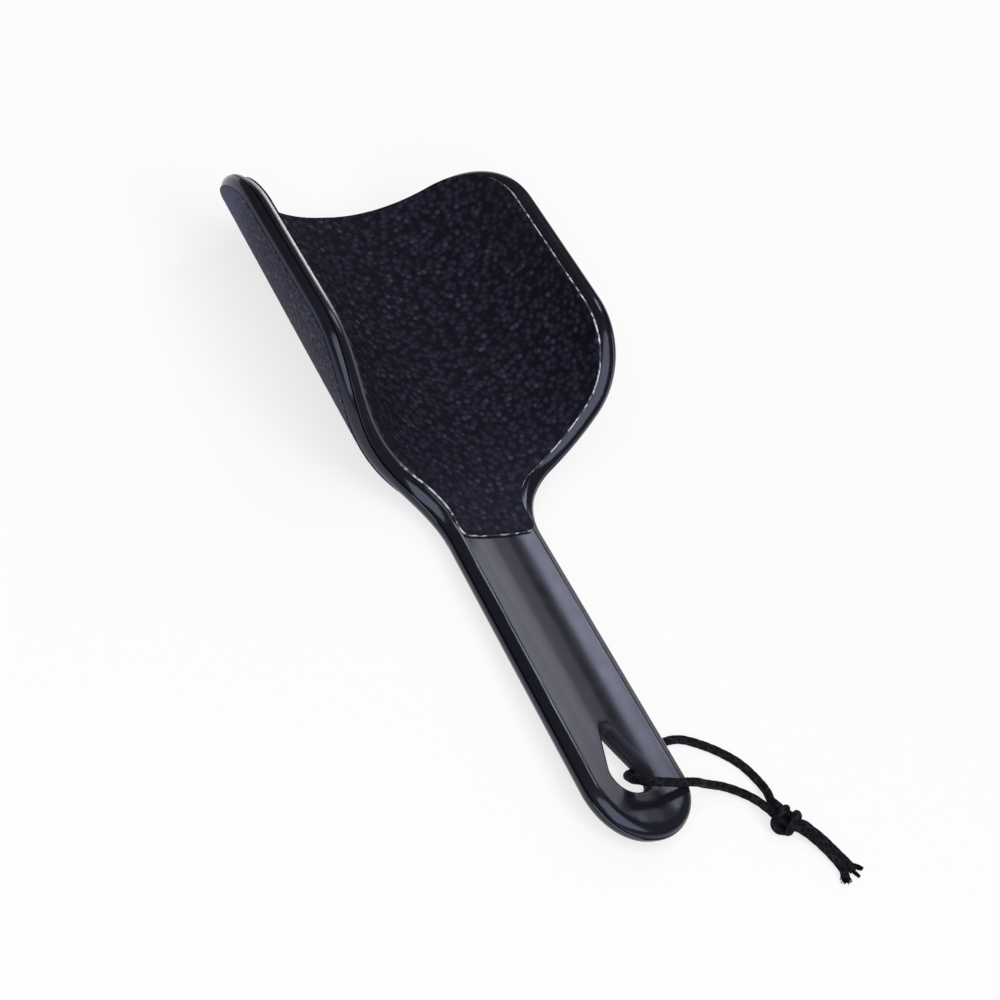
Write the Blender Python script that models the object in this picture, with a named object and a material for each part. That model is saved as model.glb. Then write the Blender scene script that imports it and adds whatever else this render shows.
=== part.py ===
"""A curved paddle for filing heels: two moulded half shells, a pad on each face, and a knotted hanging cord.

Frame: +Y runs from the handle's end to the head's top, +X across, +Z up. The hollow face looks up, and the
part lies on its back on z = 0, its handle's end raised a little by its own cord. Every piece but the cord is
drawn flat, as if the section were unrolled, with u across, y along and w through the thickness, w positive
towards the back. The flat solid is then bent round the head's curve.
"""

import math

import bmesh
import bpy
from mathutils import Vector

MM = 0.001

# Body: heights are measured along y from the handle's end
OVERALL_LENGTH = 240.0 * MM
BODY_THICKNESS = 6.6 * MM
CURVE_RADIUS = 48.0 * MM
REST_FLAT_HALF_WIDTH = 2.0 * MM
TOP_HALF_WIDTH = 65.2 * MM
TOP_CORNER_RADIUS = 27.0 * MM
SHOULDER_HALF_WIDTH = 70.2 * MM
SHOULDER_HEIGHT = 148.4 * MM
SHOULDER_RADIUS = 32.4 * MM
NECK_HALF_WIDTH = 16.0 * MM
NECK_HEIGHT = 124.0 * MM
NECK_RADIUS = 22.8 * MM
HANDLE_END_HALF_WIDTH = 18.4 * MM
HANDLE_END_RISE = 3.5 * MM

# Seam between the half shells
PIECE_GAP = 0.3 * MM
SEAM_CHAMFER = 0.25 * MM

# Hanging hole: a large round at the bottom, a small one at the top
HOLE_RADIUS = 6.2 * MM
HOLE_HEIGHT = 21.5 * MM
HOLE_TOP_RADIUS = 1.5 * MM
HOLE_TOP_HEIGHT = 36.3 * MM

# Pads: foam backing and abrasive sheet on each face
PAD_MARGIN = 2.5 * MM
PAD_END_BELOW_NECK = 14.0 * MM
PAD_CORNER_RADIUS = 2.0 * MM
FRONT_FOAM_THICKNESS = 1.1 * MM
BACK_FOAM_THICKNESS = 0.9 * MM
SHEET_THICKNESS = 0.45 * MM
SHEET_SETBACK = 0.25 * MM
FRONT_PAD_STAND = 1.2 * MM
BACK_PAD_STAND = 0.2 * MM

# Locating pins of the back shell and their sockets in the front shell
PIN_RADIUS = 1.5 * MM
PIN_LENGTH = 1.2 * MM
SOCKET_END_CLEARANCE = 0.2 * MM
PIN_LEAD = 0.3 * MM
NECK_PIN_BELOW_NECK = 12.4 * MM
TOP_PIN_BELOW_TOP = 16.8 * MM
WING_PIN_BELOW_TOP = 28.8 * MM
WING_PIN_INSIDE_EDGE = 25.0 * MM
SHOULDER_PIN_ABOVE_SHOULDER = 9.6 * MM
SHOULDER_PIN_INSIDE_EDGE = 23.5 * MM

# Cored handle: pockets between cross ribs
CORE_DEPTH = 1.4 * MM
CORE_WALL = 3.4 * MM
CORE_CORNER_RADIUS = 2.4 * MM
RIB_THICKNESS = 1.6 * MM
CORE_POCKETS = 3

# Cord
CORD_DIAMETER = 2.5 * MM
CORD_POINT_SPACING = 2.95 * MM
CORD_CURVE_SAMPLES = 24
FRAY_SPREAD_SHARE = 1.35
FRAY_LENGTH = 2.4 * MM

# Knot: tight turns round the doubled cord, drawn together
KNOT_CENTRE = Vector((49.6, 3.3, 4.4)) * MM
KNOT_CORE_LENGTH = 9.2 * MM
KNOT_TURN_RADIUS = 2.75 * MM
KNOT_TURN_PITCH = 2.0 * MM
KNOT_TURNS = 3
KNOT_HEADING_DEG = -50.0
KNOT_LOOP_END_SLANT_DEG = -28.0
KNOT_TURN_LEAN_DEG = 20.0
KNOT_LEAD = 1.2 * MM
KNOT_TURN_SIDES = 20
KNOT_TURN_FACETS = 8
KNOT_CORE_SIDES = 14

# Facets
STRIP_WIDTH = 4.0 * MM
ARC_STEP_DEG = 9.0
HOLE_STEP_DEG = 13.5
SMOOTH_ANGLE_DEG = 30.0
EDGE_STEPS = 5
PIN_SIDES = 16
CUT_OVERRUN = 2.0 * MM
FILLET_EDGE_SHARE = 0.49
CUT_TOLERANCE = 0.001 * MM

# Route of the cord's loop, from the knot under the handle, up through the hole and over the face to the knot:
# across, from the handle's end and above the floor
LOOP_ROUTE = [Vector(point) * MM for point in (
    (48.5, 11.0, 3.7),
    (50.0, 14.4, 2.5),
    (50.4, 19.4, 1.5),
    (47.5, 25.4, 1.45),
    (42.9, 30.2, 1.45),
    (37.0, 34.1, 1.45),
    (31.0, 36.5, 1.45),
    (25.2, 36.2, 1.45),
    (20.0, 33.6, 1.45),
    (15.8, 30.3, 1.45),
    (12.2, 27.3, 1.45),
    (8.6, 25.2, 1.6),
    (4.9, 24.0, 3.6),
    (2.1, 22.9, 6.0),
    (0.1, 21.4, 8.3),
    (-1.1, 19.3, 10.5),
    (-1.4, 17.1, 12.6),
    (-0.6, 15.1, 14.2),
    (1.4, 13.8, 15.1),
    (4.1, 13.1, 15.2),
    (7.3, 13.0, 14.7),
    (10.6, 13.1, 14.0),
    (13.8, 13.2, 13.7),
    (17.0, 13.4, 13.1),
    (20.7, 14.7, 10.9),
    (24.9, 16.5, 7.5),
    (30.0, 17.4, 5.0),
    (34.8, 17.3, 3.3),
    (39.7, 16.0, 2.3),
    (42.7, 13.4, 2.5),
    (44.2, 10.3, 3.4),
)]
FRONT_TAIL_ROUTE = [Vector(point) * MM for point in (
    (56.7, -1.8, 4.0),
    (59.0, -3.8, 2.8),
    (61.2, -5.9, 1.8),
    (62.6, -8.1, 1.45),
    (63.6, -10.4, 1.45),
    (65.5, -13.6, 1.45),
    (68.1, -15.5, 1.45),
)]
BACK_TAIL_ROUTE = [Vector(point) * MM for point in (
    (54.2, -3.5, 4.0),
    (56.6, -5.4, 2.8),
    (58.8, -7.4, 1.8),
    (60.2, -9.6, 1.45),
    (61.2, -11.9, 1.45),
    (61.6, -15.8, 1.45),
    (61.1, -18.5, 1.45),
)]

# Worked out from the sizes above
HALF_THICKNESS = BODY_THICKNESS / 2
HALF_SEAM = PIECE_GAP / 2
REST_HEIGHT = HALF_THICKNESS + BACK_PAD_STAND
PAD_GAPS_AND_SHEET = PIECE_GAP + PIECE_GAP + SHEET_THICKNESS
FRONT_BED_DEPTH = PAD_GAPS_AND_SHEET + FRONT_FOAM_THICKNESS - FRONT_PAD_STAND
BACK_BED_DEPTH = PAD_GAPS_AND_SHEET + BACK_FOAM_THICKNESS - BACK_PAD_STAND
SOCKET_RADIUS = PIN_RADIUS + PIECE_GAP
SOCKET_DEPTH = PIN_LENGTH - PIECE_GAP + SOCKET_END_CLEARANCE
CORD_RADIUS = CORD_DIAMETER / 2


def clear_scene():
    """Start from an empty scene."""
    for thing in list(bpy.data.objects):
        bpy.data.objects.remove(thing, do_unlink=True)


def make_material(name, colour, roughness, metallic=0.0):
    """A plain Principled material."""
    material = bpy.data.materials.new(name)
    material.use_nodes = True
    shader = material.node_tree.nodes["Principled BSDF"]
    shader.inputs["Base Color"].default_value = (*colour, 1.0)
    shader.inputs["Roughness"].default_value = roughness
    shader.inputs["Metallic"].default_value = metallic
    return material


def add_object(name, mesh, material):
    """Link a mesh to the scene as one sub-part."""
    mesh.materials.clear()
    mesh.materials.append(material)
    thing = bpy.data.objects.new(name, mesh)
    bpy.context.collection.objects.link(thing)
    return thing


def smooth_by_angle(mesh):
    """Shade the rounds smooth and keep the real edges sharp."""
    mesh.shade_smooth()
    mesh.set_sharp_from_angle(angle=math.radians(SMOOTH_ANGLE_DEG))


# Flat outlines: lists of (u, y)


def rounded_corner(before, corner, after, radius):
    """Points of the arc that rounds one corner, its radius limited by the two edges that it joins."""
    to_before = before - corner
    to_after = after - corner
    half_angle = to_before.angle(to_after) / 2
    reach = min(radius / math.tan(half_angle), FILLET_EDGE_SHARE * min(to_before.length, to_after.length))
    radius = reach * math.tan(half_angle)
    bisector = (to_before.normalized() + to_after.normalized()).normalized()
    centre = corner + bisector * (radius / math.sin(half_angle))
    start = corner + to_before.normalized() * reach - centre
    turn = (corner + to_after.normalized() * reach - centre).angle_signed(start)
    steps = max(2, round(abs(math.degrees(turn)) / ARC_STEP_DEG))
    points = []
    for step in range(steps + 1):
        angle = turn * step / steps
        cosine, sine = math.cos(angle), math.sin(angle)
        points.append(centre + Vector((start.x * cosine - start.y * sine, start.x * sine + start.y * cosine)))
    return points


def mirrored_outline(corners, radii):
    """A closed outline from its right side's corners: top centre, right side, bottom centre, left side."""
    top = Vector((0.0, corners[0].y))
    bottom = Vector((0.0, corners[-1].y))
    path = [Vector((-corners[0].x, corners[0].y)), *corners, Vector((-corners[-1].x, corners[-1].y))]
    right = []
    for index, radius in enumerate(radii, start=1):
        right += rounded_corner(path[index - 1], path[index], path[index + 1], radius)
    left = [Vector((-point.x, point.y)) for point in reversed(right)]
    return [top, *right, bottom, *left]


def shrunk(outline, distance):
    """The outline moved inwards by a distance."""
    moved = []
    for index, point in enumerate(outline):
        ahead = (outline[(index + 1) % len(outline)] - point).normalized()
        behind = (point - outline[index - 1]).normalized()
        normals = [Vector((edge.y, -edge.x)) for edge in (ahead, behind)]
        mitre = (normals[0] + normals[1]).normalized()
        moved.append(point + mitre * (distance / mitre.dot(normals[0])))
    return moved


def body_outline():
    """The paddle's outline at the middle of its thickness."""
    corners = [
        Vector((TOP_HALF_WIDTH, OVERALL_LENGTH)),
        Vector((SHOULDER_HALF_WIDTH, SHOULDER_HEIGHT)),
        Vector((NECK_HALF_WIDTH, NECK_HEIGHT)),
        Vector((HANDLE_END_HALF_WIDTH, 0.0)),
    ]
    return mirrored_outline(corners, [TOP_CORNER_RADIUS, SHOULDER_RADIUS, NECK_RADIUS, HANDLE_END_HALF_WIDTH])


def handle_half_width(height):
    """Half width of the handle at a height, between its end and the neck."""
    share = height / NECK_HEIGHT
    return HANDLE_END_HALF_WIDTH + (NECK_HALF_WIDTH - HANDLE_END_HALF_WIDTH) * share


def pad_outline(margin):
    """The pad's outline: the head's own, drawn in by a margin, and cut off square above the handle."""
    end = NECK_HEIGHT - PAD_END_BELOW_NECK - PAD_MARGIN
    corners = [
        Vector((TOP_HALF_WIDTH, OVERALL_LENGTH)),
        Vector((SHOULDER_HALF_WIDTH, SHOULDER_HEIGHT)),
        Vector((NECK_HALF_WIDTH, NECK_HEIGHT)),
        Vector((handle_half_width(end), end)),
    ]
    radii = [TOP_CORNER_RADIUS, SHOULDER_RADIUS, NECK_RADIUS, PAD_CORNER_RADIUS + PAD_MARGIN]
    return shrunk(mirrored_outline(corners, radii), margin)


def hole_outline(growth):
    """The teardrop, grown by a distance: bottom centre, right side, top centre, left side."""
    lower, upper = HOLE_RADIUS + growth, HOLE_TOP_RADIUS + growth
    side = math.asin((HOLE_RADIUS - HOLE_TOP_RADIUS) / (HOLE_TOP_HEIGHT - HOLE_HEIGHT))
    right = []
    for centre, radius, start, end in (
        (HOLE_HEIGHT, lower, -math.pi / 2, side),
        (HOLE_TOP_HEIGHT, upper, side, math.pi / 2),
    ):
        steps = max(2, round(math.degrees(end - start) / HOLE_STEP_DEG))
        for step in range(steps + 1):
            angle = start + (end - start) * step / steps
            right.append(Vector((radius * math.cos(angle), centre + radius * math.sin(angle))))
    right[0].x = 0.0
    right[-1].x = 0.0
    left = [Vector((-point.x, point.y)) for point in reversed(right[1:-1])]
    return right + left


def core_outline(low, high):
    """One cored pocket of the handle, between two heights."""
    corners = [
        Vector((handle_half_width(high) - CORE_WALL, high)),
        Vector((handle_half_width(low) - CORE_WALL, low)),
    ]
    return mirrored_outline(corners, [CORE_CORNER_RADIUS, CORE_CORNER_RADIUS])


# Flat solids


def add_ring(bm, outline, w):
    """The vertices of one outline at a depth."""
    return [bm.verts.new((point.x, point.y, w)) for point in outline]


def join_rings(bm, rings):
    """The walls between neighbouring rings."""
    for lower, upper in zip(rings, rings[1:]):
        for index in range(len(lower)):
            ahead = (index + 1) % len(lower)
            bm.faces.new((lower[index], lower[ahead], upper[ahead], upper[index]))


def close_between(bm, outer, hole):
    """Close the face between an outline and the hole in it, in a right and a left half."""
    outer_half, hole_half = len(outer) // 2, len(hole) // 2
    bm.faces.new([*outer[: outer_half + 1], *hole[: hole_half + 1]])
    bm.faces.new([*outer[outer_half:], outer[0], *hole[hole_half:], hole[0]])


def face_outwards(bm):
    """Make all faces of a closed body look outwards."""
    bmesh.ops.recalc_face_normals(bm, faces=bm.faces)
    if bm.calc_volume(signed=True) < 0:
        bmesh.ops.reverse_faces(bm, faces=bm.faces)


def finished_mesh(bm, name):
    """Turn the faces outwards and hand the mesh over."""
    face_outwards(bm)
    mesh = bpy.data.meshes.new(name)
    bm.to_mesh(mesh)
    bm.free()
    return mesh


def prism(outline, start, end, name, lead=0.0):
    """A flat solid between two depths, with a chamfered far edge where a lead is given."""
    bm = bmesh.new()
    rings = [add_ring(bm, outline, start)]
    direction = math.copysign(1.0, end - start)
    if lead:
        rings.append(add_ring(bm, outline, end - direction * lead))
        rings.append(add_ring(bm, shrunk(outline, lead), end))
    else:
        rings.append(add_ring(bm, outline, end))
    join_rings(bm, rings)
    bm.faces.new(rings[0])
    bm.faces.new(rings[-1])
    return finished_mesh(bm, name)


def round_outline(centre, radius):
    """A circle, clockwise as the other outlines are."""
    points = []
    for side in range(PIN_SIDES):
        angle = -math.tau * side / PIN_SIDES
        points.append(centre + Vector((radius * math.sin(-angle), radius * math.cos(angle))))
    return points


def half_shell(side, name):
    """One half of the moulding, with a full-round rim and hole edge; side is -1 in front and 1 at the back."""
    outline = body_outline()
    seam_angle = math.asin((HALF_SEAM + SEAM_CHAMFER) / HALF_THICKNESS)
    profile = [(SEAM_CHAMFER, HALF_SEAM)]
    for step in range(EDGE_STEPS + 1):
        angle = seam_angle + (math.pi / 2 - seam_angle) * step / EDGE_STEPS
        profile.append((HALF_THICKNESS * (1 - math.cos(angle)), HALF_THICKNESS * math.sin(angle)))
    bm = bmesh.new()
    outer = [add_ring(bm, shrunk(outline, inset), side * depth) for inset, depth in profile]
    hole = [add_ring(bm, hole_outline(inset), side * depth) for inset, depth in profile]
    join_rings(bm, outer)
    join_rings(bm, hole)
    close_between(bm, outer[0], hole[0])
    close_between(bm, outer[-1], hole[-1])
    return finished_mesh(bm, name)


def combined(mesh, tools, operation):
    """The mesh after a Boolean with each of the tool meshes."""
    body = bpy.data.objects.new("working", mesh)
    bpy.context.collection.objects.link(body)
    cutters = []
    for index, tool in enumerate(tools):
        cutter = bpy.data.objects.new(f"tool_{index}", tool)
        bpy.context.collection.objects.link(cutter)
        cutters.append(cutter)
        step = body.modifiers.new(f"step_{index}", "BOOLEAN")
        step.operation = operation
        step.object = cutter
    depsgraph = bpy.context.evaluated_depsgraph_get()
    result = bpy.data.meshes.new_from_object(body.evaluated_get(depsgraph))
    for thing in (body, *cutters):
        bpy.data.objects.remove(thing, do_unlink=True)
    return result


# Bending


def from_handle_end(point):
    """A point whose height is measured from the handle's end, in the part's own frame."""
    return point - Vector((0.0, OVERALL_LENGTH / 2, 0.0))


def bent(point):
    """Where a point of the flat solid comes to lie on the curved paddle."""
    across, along, depth = point
    angle = max(abs(across) - REST_FLAT_HALF_WIDTH, 0.0) / CURVE_RADIUS
    radius = CURVE_RADIUS + depth
    x = min(abs(across), REST_FLAT_HALF_WIDTH) + radius * math.sin(angle)
    rise = HANDLE_END_RISE * (OVERALL_LENGTH - along) / OVERALL_LENGTH
    z = CURVE_RADIUS - radius * math.cos(angle) + REST_HEIGHT + rise
    return from_handle_end(Vector((math.copysign(x, across), along, z)))


def bend_mesh(mesh):
    """Cut the flat solid into narrow strips and bend it."""
    bm = bmesh.new()
    bm.from_mesh(mesh)
    normal = Vector((1.0, 0.0, 0.0))
    strips = math.ceil((SHOULDER_HALF_WIDTH - REST_FLAT_HALF_WIDTH) / STRIP_WIDTH)
    for strip in range(strips + 1):
        for side in (-1.0, 1.0):
            place = Vector((side * (REST_FLAT_HALF_WIDTH + STRIP_WIDTH * strip), 0.0, 0.0))
            everything = [*bm.verts, *bm.edges, *bm.faces]
            bmesh.ops.bisect_plane(bm, geom=everything, plane_co=place, plane_no=normal, dist=CUT_TOLERANCE)
    for vertex in bm.verts:
        vertex.co = bent(vertex.co)
    face_outwards(bm)
    bm.to_mesh(mesh)
    bm.free()
    smooth_by_angle(mesh)
    return mesh


# Sub-parts


def pin_places():
    """The centres of the locating pins: at the neck and the top, in the wings and above the shoulders."""
    wing = Vector((TOP_HALF_WIDTH - WING_PIN_INSIDE_EDGE, OVERALL_LENGTH - WING_PIN_BELOW_TOP))
    shoulder_across = SHOULDER_HALF_WIDTH - SHOULDER_PIN_INSIDE_EDGE
    shoulder = Vector((shoulder_across, SHOULDER_HEIGHT + SHOULDER_PIN_ABOVE_SHOULDER))
    return [
        Vector((0.0, NECK_HEIGHT - NECK_PIN_BELOW_NECK)),
        Vector((0.0, OVERALL_LENGTH - TOP_PIN_BELOW_TOP)),
        wing,
        Vector((-wing.x, wing.y)),
        shoulder,
        Vector((-shoulder.x, shoulder.y)),
    ]


def core_tools(side):
    """The cutters of the handle's cored pockets, from the seam inwards."""
    low = HOLE_TOP_HEIGHT + HOLE_TOP_RADIUS + CORE_WALL + HALF_THICKNESS
    high = pin_places()[0].y - CORE_WALL - SOCKET_RADIUS
    pitch = (high - low + RIB_THICKNESS) / CORE_POCKETS
    tools = []
    for pocket in range(CORE_POCKETS):
        start = low + pitch * pocket
        outline = core_outline(start, start + pitch - RIB_THICKNESS)
        start, end = HALF_SEAM - CUT_OVERRUN, HALF_SEAM + CORE_DEPTH
        tools.append(prism(outline, side * start, side * end, f"core_{pocket}"))
    return tools


def bed_tool(side, depth):
    """The cutter of the shallow bed that a pad is glued into."""
    outline = pad_outline(PAD_MARGIN - PIECE_GAP)
    return prism(outline, side * (HALF_THICKNESS - depth), side * (HALF_THICKNESS + CUT_OVERRUN), "bed")


def make_front_shell(material):
    """The hollow-side half: pad bed, sockets for the pins and a cored handle."""
    mesh = half_shell(-1, "front_shell")
    mouth, bottom = CUT_OVERRUN - HALF_SEAM, -HALF_SEAM - SOCKET_DEPTH
    sockets = [prism(round_outline(place, SOCKET_RADIUS), mouth, bottom, "socket") for place in pin_places()]
    mesh = combined(mesh, [bed_tool(-1, FRONT_BED_DEPTH), *core_tools(-1), *sockets], "DIFFERENCE")
    return add_object("front_shell", bend_mesh(mesh), material)


def make_back_shell(material):
    """The back half: pad bed, locating pins and a cored handle with cross ribs."""
    mesh = half_shell(1, "back_shell")
    mesh = combined(mesh, [bed_tool(1, BACK_BED_DEPTH), *core_tools(1)], "DIFFERENCE")
    pins = [
        prism(round_outline(place, PIN_RADIUS), HALF_SEAM + PIN_LEAD, HALF_SEAM - PIN_LENGTH, "pin", PIN_LEAD)
        for place in pin_places()
    ]
    mesh = combined(mesh, pins, "UNION")
    return add_object("back_shell", bend_mesh(mesh), material)


def make_pad(prefix, side, bed_depth, foam_thickness, foam_material, sheet_material):
    """The foam backing and the abrasive sheet of one face."""
    floor = HALF_THICKNESS - bed_depth
    foam_start = floor + PIECE_GAP
    sheet_start = foam_start + foam_thickness + PIECE_GAP
    foam_end = foam_start + foam_thickness
    foam = prism(pad_outline(PAD_MARGIN), side * foam_start, side * foam_end, prefix + "_foam")
    add_object(prefix + "_pad_foam", bend_mesh(foam), foam_material)
    outline = pad_outline(PAD_MARGIN + SHEET_SETBACK)
    sheet = prism(outline, side * sheet_start, side * (sheet_start + SHEET_THICKNESS), prefix + "_sheet")
    add_object(prefix + "_abrasive_sheet", bend_mesh(sheet), sheet_material)


# Cord


def smooth_route(route):
    """Evenly spaced points on a smooth curve through the route's own points."""
    padded = [route[0] * 2 - route[1], *route, route[-1] * 2 - route[-2]]
    fine = []
    for a, b, c, d in zip(padded, padded[1:], padded[2:], padded[3:]):
        for sample in range(CORD_CURVE_SAMPLES):
            t = sample / CORD_CURVE_SAMPLES
            turning = (a * 2 - b * 5 + c * 4 - d) * t**2 + (b * 3 - a - c * 3 + d) * t**3
            fine.append((b * 2 + (c - a) * t + turning) / 2)
    fine.append(route[-1])
    lengths = [0.0]
    for before, after in zip(fine, fine[1:]):
        lengths.append(lengths[-1] + (after - before).length)
    count = max(4, round(lengths[-1] / CORD_POINT_SPACING))
    points = []
    place = 0
    for step in range(count + 1):
        target = lengths[-1] * step / count
        while place < len(fine) - 2 and lengths[place + 1] < target:
            place += 1
        share = (target - lengths[place]) / (lengths[place + 1] - lengths[place])
        points.append(fine[place].lerp(fine[place + 1], share))
    return points


def add_cord(name, points, material, radius_at=None):
    """A round cord along a list of points, as a bevelled curve with filled ends."""
    curve = bpy.data.curves.new(name, "CURVE")
    curve.dimensions = "3D"
    curve.bevel_depth = CORD_RADIUS
    curve.bevel_resolution = 2
    curve.use_fill_caps = True
    spline = curve.splines.new("POLY")
    spline.points.add(len(points) - 1)
    for index, (control, point) in enumerate(zip(spline.points, points)):
        control.co = (*point, 1.0)
        control.radius = radius_at(index, len(points)) if radius_at else 1.0
    curve.materials.append(material)
    thing = bpy.data.objects.new(name, curve)
    bpy.context.collection.objects.link(thing)
    return thing


def knot_axes(end=1):
    """The knot's own directions at one of its ends: along the doubled cord, across it and up."""
    heading = math.radians(KNOT_HEADING_DEG + (KNOT_LOOP_END_SLANT_DEG if end < 0 else 0.0))
    along = Vector((math.cos(heading), math.sin(heading), 0.0))
    return along, Vector((-along.y, along.x, 0.0)), Vector((0.0, 0.0, 1.0))


def knot_end(end):
    """The middle of the flat face at one end of the knot."""
    return from_handle_end(KNOT_CENTRE) + knot_axes()[0] * (end * KNOT_CORE_LENGTH / 2)


def knot_port(end, side):
    """Where a strand meets an end of the knot, and a point that leads it out straight."""
    along, across, _ = knot_axes(end)
    port = knot_end(end) + along * (end * PIECE_GAP) + across * (side * (CORD_RADIUS + HALF_SEAM))
    return [port, port + along * (end * KNOT_LEAD)]


def turn_mesh(centre):
    """One turn of the knot: a ring that leans over the doubled cord."""
    along, across, up = knot_axes()
    lean = math.radians(KNOT_TURN_LEAN_DEG)
    first = across * math.cos(lean) + along * math.sin(lean)
    normal = first.cross(up)
    bm = bmesh.new()
    rings = []
    for side in range(KNOT_TURN_SIDES):
        angle = math.tau * side / KNOT_TURN_SIDES
        outward = first * math.cos(angle) + up * math.sin(angle)
        ring = []
        for facet in range(KNOT_TURN_FACETS):
            turn = math.tau * facet / KNOT_TURN_FACETS
            reach = KNOT_TURN_RADIUS + CORD_RADIUS * math.cos(turn)
            ring.append(bm.verts.new(centre + outward * reach + normal * CORD_RADIUS * math.sin(turn)))
        rings.append(ring)
    join_rings(bm, [*rings, rings[0]])
    return finished_mesh(bm, "turn")


def core_mesh():
    """The doubled cord inside the knot, as one rounded bar with flat ends."""
    bm = bmesh.new()
    rings = []
    for end in (-1, 1):
        _, across, up = knot_axes(end)
        ring = []
        for side in range(KNOT_CORE_SIDES):
            turn = math.tau * side / KNOT_CORE_SIDES
            offset = across * (CORD_DIAMETER * math.cos(turn)) + up * (CORD_DIAMETER * math.sin(turn))
            ring.append(bm.verts.new(knot_end(end) + offset))
        rings.append(ring)
    join_rings(bm, rings)
    for ring in rings:
        bm.faces.new(ring)
    return finished_mesh(bm, "knot_core")


def make_tail(name, side, route, material):
    """One free end of the cord, which opens out where its braid is frayed."""
    port, lead = knot_port(1, side)
    points = [port, *smooth_route([lead, *map(from_handle_end, route)])]
    end = points[-1] - (points[-1] - points[-2]).normalized() * FRAY_LENGTH
    points = [*points[:-1], end, points[-1]]
    add_cord(name, points, material, lambda index, count: FRAY_SPREAD_SHARE if index == count - 1 else 1.0)


def make_loop(material):
    """The doubled part of the cord, from the knot, up through the hole and back to the knot."""
    first_port, first_lead = knot_port(-1, 1)
    last_port, last_lead = knot_port(-1, -1)
    route = [first_lead, *map(from_handle_end, LOOP_ROUTE), last_lead]
    points = [first_port, *smooth_route(route), last_port]
    add_cord("lanyard_loop", points, material)


def make_knot(material):
    """The overhand knot that closes the loop."""
    along = knot_axes()[0]
    turns = []
    for turn in range(KNOT_TURNS):
        shift = (turn - (KNOT_TURNS - 1) / 2) * KNOT_TURN_PITCH
        turns.append(turn_mesh(from_handle_end(KNOT_CENTRE) + along * shift))
    mesh = combined(core_mesh(), turns, "UNION")
    smooth_by_angle(mesh)
    return add_object("lanyard_knot", mesh, material)


def build():
    """Make every sub-part."""
    clear_scene()
    shell = make_material("black_moulding", (0.022, 0.022, 0.027), 0.28)
    foam = make_material("pale_foam", (0.52, 0.52, 0.58), 0.8)
    grit = make_material("dark_grit", (0.045, 0.045, 0.075), 0.7)
    cord = make_material("black_cord", (0.014, 0.014, 0.017), 0.85)
    make_front_shell(shell)
    make_back_shell(shell)
    make_pad("front", -1, FRONT_BED_DEPTH, FRONT_FOAM_THICKNESS, foam, grit)
    make_pad("back", 1, BACK_BED_DEPTH, BACK_FOAM_THICKNESS, foam, grit)
    make_loop(cord)
    make_knot(cord)
    make_tail("lanyard_front_tail", 1, FRONT_TAIL_ROUTE, cord)
    make_tail("lanyard_back_tail", -1, BACK_TAIL_ROUTE, cord)


build()
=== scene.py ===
"""Looks of a curved paddle foot file: glossy black moulding, gritty pads on foam, and a knotted braided cord.

The paddle lies on its back. X runs across the head, Y from the handle's end to the head's top, Z up out of the
hollow face. The shapes hold their sizes in millimetres, which become metres where a mesh is made. The finishes
and the lamps hold theirs in metres.
"""

import logging
import math
import random
from dataclasses import dataclass, field
from enum import Enum
from typing import Callable, Iterable, Sequence

import bmesh
import bpy
from mathutils import Matrix, Vector, noise


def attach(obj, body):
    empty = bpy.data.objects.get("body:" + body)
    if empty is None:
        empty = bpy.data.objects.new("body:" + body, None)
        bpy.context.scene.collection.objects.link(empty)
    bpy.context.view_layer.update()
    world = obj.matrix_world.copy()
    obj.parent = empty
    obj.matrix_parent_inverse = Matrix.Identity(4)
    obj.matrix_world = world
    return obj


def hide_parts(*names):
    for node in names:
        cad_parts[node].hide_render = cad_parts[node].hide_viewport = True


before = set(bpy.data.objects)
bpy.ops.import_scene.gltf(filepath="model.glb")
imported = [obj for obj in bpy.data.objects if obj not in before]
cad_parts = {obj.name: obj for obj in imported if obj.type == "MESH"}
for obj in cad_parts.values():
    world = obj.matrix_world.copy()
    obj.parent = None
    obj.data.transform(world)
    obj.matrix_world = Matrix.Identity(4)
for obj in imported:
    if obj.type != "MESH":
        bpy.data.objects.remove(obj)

LOG = logging.getLogger("foot_file")
MM = 0.001
BODY = "root"
WALL = "wall"
RELIEF = "relief"

Colour = tuple[float, float, float]
Point = tuple[float, float, float]
Range = tuple[float, float]
Outline = list[Vector]


class Face(Enum):
    """The two faces of the paddle, with the sign of their depth through the thickness."""

    FRONT = -1
    BACK = 1


def limited(value: float) -> float:
    """The value, kept between 0 and 1."""
    return min(1.0, max(0.0, value))


def added(name: str, data: bpy.types.ID) -> bpy.types.Object:
    """Make an object and link it to the scene.

    Args:
        name: Its name.
        data: The mesh, curve, lamp or camera that it shows.

    Returns:
        The object.
    """
    thing = bpy.data.objects.new(name, data)
    bpy.context.collection.objects.link(thing)
    return thing


def store(mesh: bpy.types.Mesh, name: str, values: Sequence[float]) -> None:
    """Keep a number for each point of a mesh, under the name by which a finish reads it."""
    mesh.attributes.new(name, "FLOAT", "POINT").data.foreach_set("value", values)


def join_rings(bm: bmesh.types.BMesh, rings: Sequence[Sequence[bmesh.types.BMVert]]) -> None:
    """Join neighbouring rings with walls.

    Args:
        bm: The drawing that holds them.
        rings: The rings in order, with as many vertices in each.
    """
    for lower, upper in zip(rings, rings[1:]):
        for index in range(len(lower)):
            ahead = (index + 1) % len(lower)
            bm.faces.new((lower[index], lower[ahead], upper[ahead], upper[index]))


# Shader maths


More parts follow.
